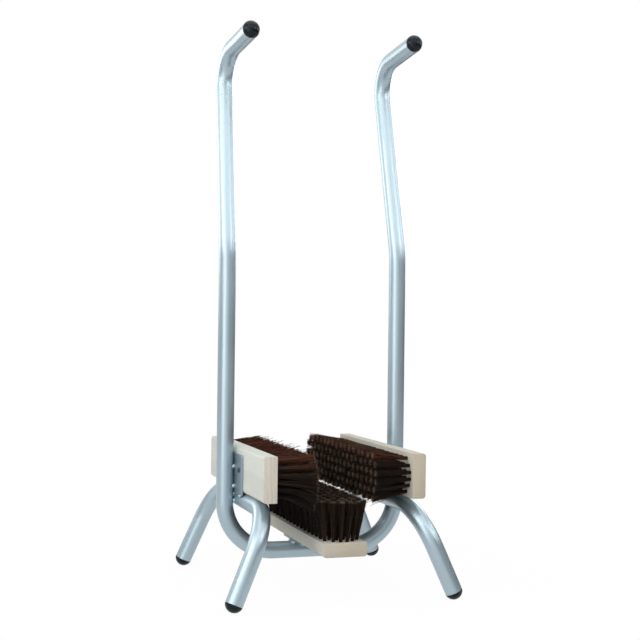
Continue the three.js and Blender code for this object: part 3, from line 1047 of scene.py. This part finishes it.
class SCRAPER_OT_brush_blocks(Builder, Operator):
    """Shape the three wooden brush backs"""
    bl_idname = "scraper.brush_blocks"
    bl_label = "Brush Blocks"

    def build(self, where):
        half = where.brush_length / 2
        # Painted shade for each block: 0 keeps the palest colours, 1 takes the shaded ones
        board_shades = {"left": 0.0, "right": 1.0, "bottom": 0.8}

        def board(shape):
            rim = [shape.verts.new((x, -half, z)) for x, z in block_outline(where)]
            front = shape.faces.new(rim)
            swept = bmesh.ops.extrude_face_region(shape, geom=[front])["geom"]
            moved = [item for item in swept if isinstance(item, bmesh.types.BMVert)]
            bmesh.ops.translate(shape, verts=moved, vec=(0, 2 * half, 0))
            bmesh.ops.recalc_face_normals(shape, faces=shape.faces)

        for side, matrix in where.stations().items():
            piece = mesh_from(f"wooden_back_{side}", board)
            edge = piece.modifiers.new("Eased Ends", "BEVEL")
            edge.width = where.brush.front_radius * 0.6
            edge.segments = 2
            edge.limit_method = "ANGLE"
            edge.angle_limit = math.radians(60)
            piece = smooth(placed(baked(piece), matrix))
            mark(piece.data, "board_tone", [board_shades[side]] * len(piece.data.vertices))
            dress(piece, "wood", f"brush_block_{side}")


def tuft_roots(where):
    """The drilled pattern: six rows whose ends follow a curve, at the block's face."""
    brush = where.brush
    rows = (16, 17, 18, 18, 17, 16)
    middle = (len(rows) - 1) / 2
    roots = []
    for row, count in enumerate(rows):
        x = (row - middle) * brush.row_spacing
        reach = where.brush_length / 2 - brush.end_margin - brush.end_curve * x ** 2
        for index in range(count):
            roots.append((x, reach * (2 * index / (count - 1) - 1), where.block_thickness))
    return roots


class SCRAPER_OT_bristles(Builder, Operator):
    """Fill the three brushes with tufts of bristles"""
    bl_idname = "scraper.bristles"
    bl_label = "Bristles"

    # How each brush has worn, with its painted top light: fan, droop, painted top light and spread
    WEAR_AND_TOP_LIGHT = {
        "left": (0.1, 17 * MM, 0.9, 1.15),
        "right": (0.24, 3 * MM, 0.5, 1.0),
        "bottom": (0.3, 0.0, 0.0, 0.95),
    }

    def build(self, where):
        brush = where.brush
        tree = bristle_tree(brush)
        for number, (side, matrix) in enumerate(where.stations().items()):
            fan, droop, top_light_share, spread = self.WEAR_AND_TOP_LIGHT[side]
            points = line_mesh(f"brush_fill_{side}", tuft_roots(where), joined=False)
            piece = grown(points, tree, "bristle", {
                "Spread Across": brush.spread_across * spread,
                "Fan Across": fan,
                "Droop": droop,
                "Sun Bleach": top_light_share,
                "Seed": brush.seed + 20 * number,
            })
            dress(placed(piece, matrix), "bristle", f"bristles_{side}")


def screw_model(plate):
    """A pan-head screw with a cross recess; its head lies above Z = 0."""
    head = plate.head_diameter / 2
    tall = plate.head_height
    shank = 2 * MM
    tip, taper = -17 * MM, -13 * MM
    rim = 0.3 * tall
    slot_width, slot_height = 0.9 * MM, 2.6 * MM
    profile = [(0, tip), (shank * 0.9, taper), (shank, 0), (head, 0)]
    steps = 8
    for step in range(steps):
        turn = math.pi / 2 * step / steps
        profile.append((head * math.cos(turn) ** 0.7, rim + (tall - rim) * math.sin(turn)))
    screw = lathe("screw_model", profile + [(0, tall)], 32)
    for turn in (0, math.pi / 2):
        def slot(shape):
            size = Matrix.Diagonal((head * 1.1, slot_width, slot_height, 1))
            turned = Matrix.Translation((0, 0, tall)) @ Matrix.Rotation(turn, 4, "Z")
            bmesh.ops.create_cube(shape, size=1, matrix=turned @ size)

        cutter = mesh_from("recess_cutter", slot)
        cut = screw.modifiers.new("Recess", "BOOLEAN")
        cut.operation = "DIFFERENCE"
        cut.object = cutter
        screw = baked(screw)
        bpy.data.objects.remove(cutter)
    return screw


class SCRAPER_OT_screws(Builder, Operator):
    """Drive the two screws of each carrier plate"""
    bl_idname = "scraper.screws"
    bl_label = "Screws"

    def build(self, where):
        plate = where.plate
        seats = []
        for matrix in where.stations().values():
            out = matrix.to_3x3() @ Vector((0, 0, -1))
            for y in where.screw_places():
                seats.append((matrix @ Vector((0, y, -plate.thickness)), out, FULL_SIZE))
        piece = set_copies("plate_screws", screw_model(plate), seats, "screw",
                           {"Largest Spin": math.pi / 2, "Seed": 3})
        nodes = [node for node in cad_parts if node.startswith("screw_")]
        dress(smooth(piece), "screw", *nodes)


# Stage

HANDLES = (0, 0, 0.85)
LEFT_BRUSH = (-0.15, 0, 0.4)

# Area lamps round the object: turn, reach, height, target, size and power
LAMPS = {
    "key_lamp": (-50, 1.6, 0.5, LEFT_BRUSH, (1.0, 1.2), 6.5),
    "left_box": (-75, 2.1, 1.35, HANDLES, (0.9, 1.0), 12.5),
    "front_left_box": (-42, 2.0, 2.1, HANDLES, (1.0, 0.9), 7),
    "upper_front_box": (0, 2.0, 2.1, HANDLES, (1.2, 0.9), 6),
    "front_right_box": (38, 2.1, 1.5, HANDLES, (1.0, 0.8), 9),
    "right_box": (82, 2.1, 1.3, HANDLES, (0.9, 0.8), 5.5),
    "back_right_box": (133, 2.1, 1.0, HANDLES, (0.9, 0.7), 8),
    "back_left_box": (-143, 2.1, 0.95, HANDLES, (1.1, 0.7), 8),
    "left_rear_box": (-110, 1.7, 1.25, HANDLES, (1.4, 0.8), 2),
    "overhead_box": (0, 0.05, 2.7, HANDLES, (2.4, 2.4), 18),
}

# Flags, which darken the edges of the tubes: first turn, last turn and level
FLAGS = {
    "left_flag": (-200, -95, 0.5),
    "front_left_flag": (-95, -62, 0.0),
    "right_flag": (5, 160, 0.0),
}
FLAG_RADIUS = 2.4
FLAG_HEIGHT = 0.9


def seen_directly(tree):
    """1 for camera, glossy and transmitted rays, which all show the plain background."""
    rays = tree.add("ShaderNodeLightPath")
    seen = rays.out("Is Camera Ray").at_least(rays.out("Is Glossy Ray"))
    return seen.at_least(rays.out("Is Transmission Ray"))


def add_world(scene):
    """A white background that lights the object only softly."""
    world = bpy.data.worlds.new("white_room")
    world.use_nodes = True
    scene.world = world
    tree = NodeTree(world.node_tree)
    background = world.node_tree.nodes["Background"]
    background.inputs["Color"].default_value = (1, 1, 1, 1)
    tree.feed(background.inputs["Strength"], 0.2 + 0.8 * seen_directly(tree))


def add_floor(settings):
    """A wide pale floor that keeps a faint shadow of the object."""
    def build(shape):
        bmesh.ops.create_grid(shape, x_segments=1, y_segments=1, size=12)

    floor = mesh_from("floor", build)
    tree = Shader("pale_floor")
    seen = seen_directly(tree)
    reach = tree.vector("LENGTH", tree.place, output=1)
    white = tree.ramp(reach, (0.4, 0.97), (1.0, 1.0))
    glow = tree.add("ShaderNodeEmission", {"Color": (1, 1, 1, 1), "Strength": 1.0})
    lit = Socket(tree, tree.surface, "BSDF")
    shown_white = tree.add("ShaderNodeMixShader", {0: white * seen, 1: lit, 2: glow})
    tree.feed(tree.tree.nodes["Material Output"].inputs["Surface"], shown_white)
    floor.data.materials.append(tree.finished({
        "Base Color": tree.mix(seen, settings.view.floor, (1, 1, 1)),
        "Roughness": 0.9,
        "Specular IOR Level": 0.1,
    }))


def around(turn, reach, height):
    """A place round the object: a turn of 0 is in front of it and 90 is to its right."""
    turn = math.radians(turn)
    return Vector((reach * math.sin(turn), -reach * math.cos(turn), height))


def add_flag(name, start, end, level):
    """A grey studio flag, curved round the object, that only reflections see."""
    steps = 24

    def build(shape):
        turns = [start + (end - start) * step / steps for step in range(steps + 1)]
        low, high = [[shape.verts.new(around(turn, FLAG_RADIUS, z)) for turn in turns]
                     for z in (0.0, FLAG_HEIGHT)]
        for step in range(steps):
            shape.faces.new((low[step], low[step + 1], high[step + 1], high[step]))

    flag = mesh_from(name, build)
    flag.data.materials.append(Shader(name).finished({
        "Base Color": (0, 0, 0, 1),
        "Specular IOR Level": 0,
        "Emission Color": (level, level, level, 1),
        "Emission Strength": 1,
    }))
    flag.visible_camera = False
    flag.visible_diffuse = False
    flag.visible_shadow = False


def add_lamp(name, turn, reach, height, target, size, power):
    """A soft area lamp that looks at a target."""
    data = bpy.data.lights.new(name, "AREA")
    data.shape = "RECTANGLE"
    data.size, data.size_y = size
    data.energy = power
    lamp = shown(name, data)
    lamp.location = around(turn, reach, height)
    lamp.visible_camera = False
    lamp.rotation_euler = (Vector(target) - lamp.location).to_track_quat("-Z", "Y").to_euler()


def add_camera(scene, view):
    """The camera of the photograph."""
    data = bpy.data.cameras.new("camera")
    data.sensor_width = 36
    data.lens = view.focal
    camera = shown("camera", data)
    camera.matrix_world = (Matrix.Translation(view.position)
                           @ Matrix.Rotation(-view.yaw, 4, "Z")
                           @ Matrix.Rotation(math.pi / 2 + view.pitch, 4, "X")
                           @ Matrix.Rotation(view.roll, 4, "Z"))
    scene.camera = camera


class SCRAPER_OT_stage(Operator):
    """Set up the floor, the lamps, the background and the camera"""
    bl_idname = "scraper.stage"
    bl_label = "Stage"

    def execute(self, context):
        scene = context.scene
        scene.view_settings.view_transform = "Standard"
        add_world(scene)
        add_floor(scene.scraper)
        for name, values in LAMPS.items():
            add_lamp(name, *values)
        for name, values in FLAGS.items():
            add_flag(name, *values)
        add_camera(scene, scene.scraper.view)
        return {"FINISHED"}


# Registration

OPERATORS = (
    SCRAPER_OT_frame_tube,
    SCRAPER_OT_legs,
    SCRAPER_OT_end_caps,
    SCRAPER_OT_plates,
    SCRAPER_OT_weld_beads,
    SCRAPER_OT_brush_blocks,
    SCRAPER_OT_bristles,
    SCRAPER_OT_screws,
    SCRAPER_OT_stage,
)


class SCRAPER_PT_panel(Panel):
    """Lists the pieces of the boot scraper"""
    bl_label = "Boot Scraper"
    bl_idname = "SCRAPER_PT_panel"
    bl_space_type = "VIEW_3D"
    bl_region_type = "UI"
    bl_category = "Boot Scraper"

    def draw(self, context):
        for operator in OPERATORS:
            self.layout.operator(operator.bl_idname)


CLASSES = (
    TubeSettings,
    LegSettings,
    CapSettings,
    BrushSettings,
    PlateSettings,
    ViewSettings,
    ScraperSettings,
    *OPERATORS,
    SCRAPER_PT_panel,
)


def register():
    for item in CLASSES:
        bpy.utils.register_class(item)
    bpy.types.Scene.scraper = PointerProperty(type=ScraperSettings)


def unregister():
    del bpy.types.Scene.scraper
    for item in reversed(CLASSES):
        bpy.utils.unregister_class(item)


def main():
    register()
    bpy.ops.scraper.frame_tube()
    bpy.ops.scraper.legs()
    bpy.ops.scraper.end_caps()
    bpy.ops.scraper.plates()
    bpy.ops.scraper.weld_beads()
    bpy.ops.scraper.brush_blocks()
    bpy.ops.scraper.bristles()
    bpy.ops.scraper.screws()
    bpy.ops.scraper.stage()


if __name__ == "__main__":
    main()
